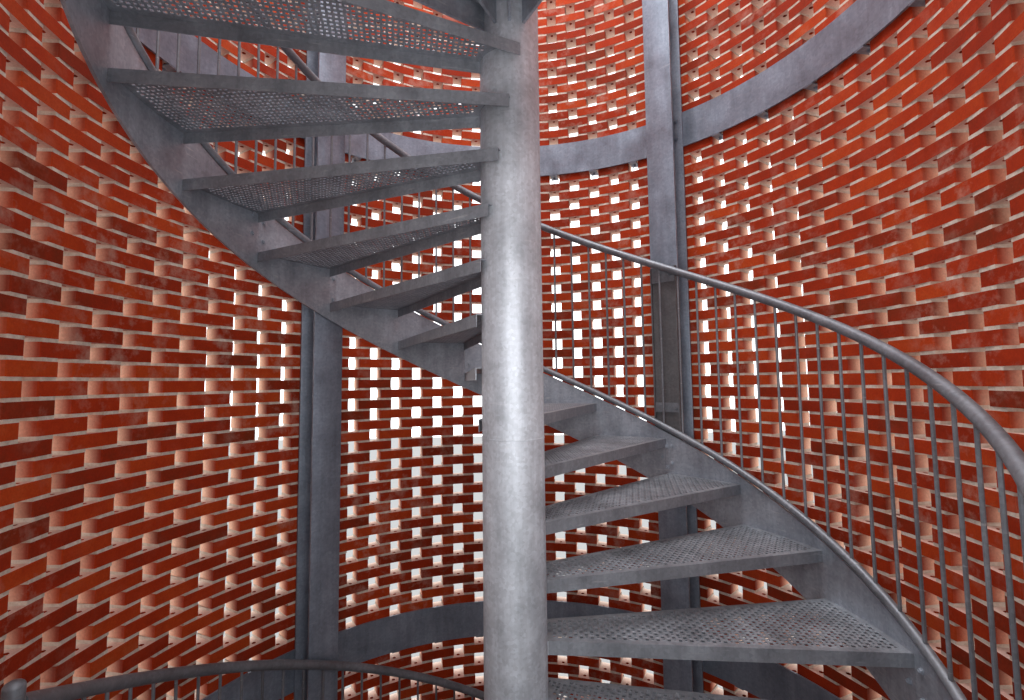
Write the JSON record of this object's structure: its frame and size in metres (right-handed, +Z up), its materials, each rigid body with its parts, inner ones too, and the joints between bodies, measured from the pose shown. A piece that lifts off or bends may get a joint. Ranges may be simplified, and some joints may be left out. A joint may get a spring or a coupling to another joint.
{
  "type": "fire escape stair tower",
  "caption": "Round open-brick stair tower with a steel spiral stair on a central column, doorways at each level and H-section posts tied by rings.",
  "frame": {"origin": "on the tower's axis at ground level", "axes": "+Z up along the column, -Y out through the doorways; the stair climbs counterclockwise seen from above"},
  "size_m": [3.23, 3.23, 8.7925],
  "materials": {
    "brickwork": "fired clay facing bricks laid with open joints",
    "frame_steel": "hot-dip galvanised",
    "stair_steel": "hot-dip galvanised",
    "tread_sheet": "perforated sheet, hot-dip galvanised",
    "rail_steel": "hot-dip galvanised",
    "lining_steel": "hot-dip galvanised"
  },
  "bodies": {
    "root": {"column": "stair_steel", "column_base": "stair_steel", "column_cap": "stair_steel", "door_frame_1": "lining_steel", "door_frame_2": "lining_steel", "door_frame_3": "lining_steel", "flight_1_balusters": "rail_steel", "flight_1_bottom_rail": "rail_steel", "flight_1_handrail": "rail_steel", "flight_1_newels": "rail_steel", "flight_1_stringer": "stair_steel", "flight_1_treads": "tread_sheet", "flight_2_balusters": "rail_steel", "flight_2_bottom_rail": "rail_steel", "flight_2_handrail": "rail_steel", "flight_2_newels": "rail_steel", "flight_2_stringer": "stair_steel", "flight_2_treads": "tread_sheet", "landing_1_beams": "stair_steel", "landing_1_deck": "tread_sheet", "landing_1_edge": "stair_steel", "landing_1_sill": "lining_steel", "landing_2_beams": "stair_steel", "landing_2_deck": "tread_sheet", "landing_2_edge": "stair_steel", "landing_2_sill": "lining_steel", "post_channels": "frame_steel", "post_front_left": "frame_steel", "post_front_right": "frame_steel", "post_rear_left": "frame_steel", "post_rear_right": "frame_steel", "ring_1": "frame_steel", "ring_2": "frame_steel", "ring_3": "frame_steel", "stair_brackets": "stair_steel", "tie_lugs_1": "frame_steel", "tie_lugs_2": "frame_steel", "tie_lugs_3": "frame_steel", "top_landing_guard": "rail_steel", "wall_front_left": "brickwork", "wall_front_right": "brickwork", "wall_left": "brickwork", "wall_over_door_1": "brickwork", "wall_over_door_2": "brickwork", "wall_over_door_3": "brickwork", "wall_rear": "brickwork", "wall_right": "brickwork"}
  },
  "joints": []
}
